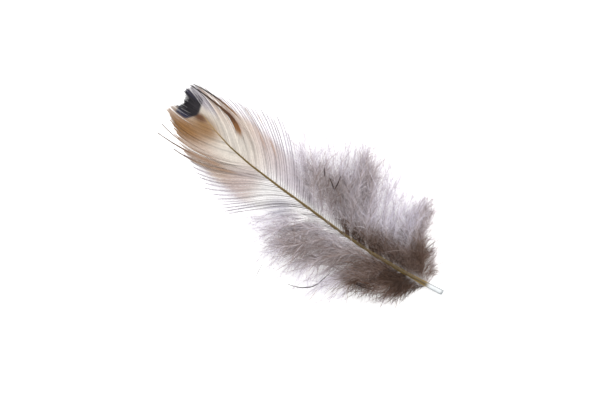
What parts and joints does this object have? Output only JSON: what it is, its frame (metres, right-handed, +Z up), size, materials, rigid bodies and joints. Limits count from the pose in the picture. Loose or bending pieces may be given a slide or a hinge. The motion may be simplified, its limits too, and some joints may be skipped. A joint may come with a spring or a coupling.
{
  "type": "pheasant feather",
  "caption": "Small pheasant body feather lying on its hollow side: clear cut quill, arched shaft, pale tan web with a dark notched tip, and loose grey-brown down beside the lower shaft.",
  "frame": {"origin": "centre of the feather's box in plan, on the surface it lies on", "axes": "+X along the shaft from the cut quill to the tip, +Z up, away from the surface, +Y to the side of the longer web barbs"},
  "size_m": [0.0668, 0.0356, 0.0075],
  "materials": {
    "feather": "soft matte"
  },
  "bodies": {
    "root": {"feather": "feather"}
  },
  "joints": []
}
